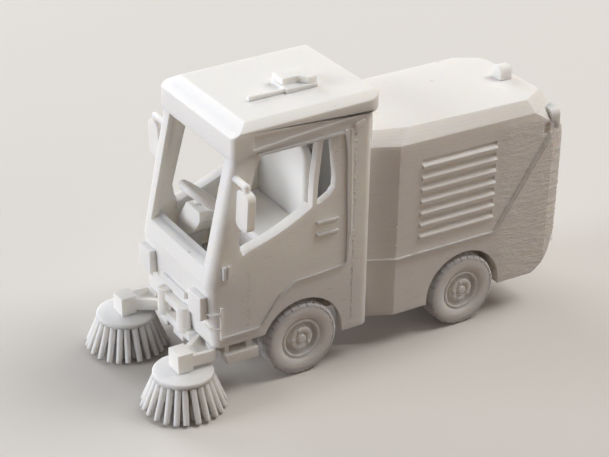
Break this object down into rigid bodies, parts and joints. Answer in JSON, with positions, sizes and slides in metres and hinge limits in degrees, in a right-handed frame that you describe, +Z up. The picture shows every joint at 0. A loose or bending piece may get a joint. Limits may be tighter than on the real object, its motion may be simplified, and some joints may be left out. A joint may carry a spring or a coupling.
{
  "type": "toy street sweeper truck",
  "caption": "Printed model of a compact street sweeper with an open hollow cab, a closed hopper, rolling wheels and spinning side brushes.",
  "frame": {"origin": "on the ground under the middle of the model's length and width", "axes": "+X forward towards the brushes, +Y to the vehicle's left, +Z up"},
  "size_m": [0.149, 0.0644, 0.0905],
  "materials": {
    "printed_pla": "matte, fine horizontal print layers",
    "printed_tyre": "matte print, same white plastic",
    "printed_brush": "matte print, same white plastic"
  },
  "bodies": {
    "model": {"binnacle": "printed_pla", "brush_arm_left": "printed_pla", "brush_arm_right": "printed_pla", "brush_pin_left": "printed_pla", "brush_pin_right": "printed_pla", "cab_floor": "printed_pla", "cab_roof": "printed_pla", "cab_shell": "printed_pla", "chassis": "printed_pla", "dashboard": "printed_pla", "door_handle_left": "printed_pla", "door_handle_right": "printed_pla", "front_axle": "printed_pla", "front_bar": "printed_pla", "headlamp_left": "printed_pla", "headlamp_right": "printed_pla", "hopper": "printed_pla", "lift_bracket": "printed_pla", "mirror_left": "printed_pla", "mirror_right": "printed_pla", "rear_axle": "printed_pla", "rear_beacon": "printed_pla", "rear_bulkhead": "printed_pla", "rear_lamp_left": "printed_pla", "rear_lamp_right": "printed_pla", "roof_vent": "printed_pla", "seat_back": "printed_pla", "seat_base": "printed_pla", "side_marker_left": "printed_pla", "side_marker_right": "printed_pla", "side_step_left": "printed_pla", "side_step_right": "printed_pla", "steering_column": "printed_pla", "steering_wheel": "printed_pla"},
    "wheel_front_left": {"rim_front_left": "printed_pla", "tyre_front_left": "printed_tyre"},
    "wheel_front_right": {"rim_front_right": "printed_pla", "tyre_front_right": "printed_tyre"},
    "wheel_rear_left": {"rim_rear_left": "printed_pla", "tyre_rear_left": "printed_tyre"},
    "wheel_rear_right": {"rim_rear_right": "printed_pla", "tyre_rear_right": "printed_tyre"},
    "side_brush_left": {"brush_left": "printed_brush"},
    "side_brush_right": {"brush_right": "printed_brush"}
  },
  "joints": [
    {"name": "wheel_front_left_roll", "type": "hinge", "parent": "model", "child": "wheel_front_left", "pos_m": [0.0226, 0.0183, 0.012], "axis": [0, 1, 0], "continuous": true},
    {"name": "wheel_front_right_roll", "type": "hinge", "parent": "model", "child": "wheel_front_right", "pos_m": [0.0226, -0.0183, 0.012], "axis": [0, 1, 0], "continuous": true},
    {"name": "wheel_rear_left_roll", "type": "hinge", "parent": "model", "child": "wheel_rear_left", "pos_m": [-0.0366, 0.0183, 0.012], "axis": [0, 1, 0], "continuous": true},
    {"name": "wheel_rear_right_roll", "type": "hinge", "parent": "model", "child": "wheel_rear_right", "pos_m": [-0.0366, -0.0183, 0.012], "axis": [0, 1, 0], "continuous": true},
    {"name": "side_brush_left_spin", "type": "hinge", "parent": "model", "child": "side_brush_left", "pos_m": [0.0615, 0.0192, 0.0115], "axis": [0, 0, 1], "continuous": true},
    {"name": "side_brush_right_spin", "type": "hinge", "parent": "model", "child": "side_brush_right", "pos_m": [0.0615, -0.0192, 0.0115], "axis": [0, 0, 1], "continuous": true}
  ]
}
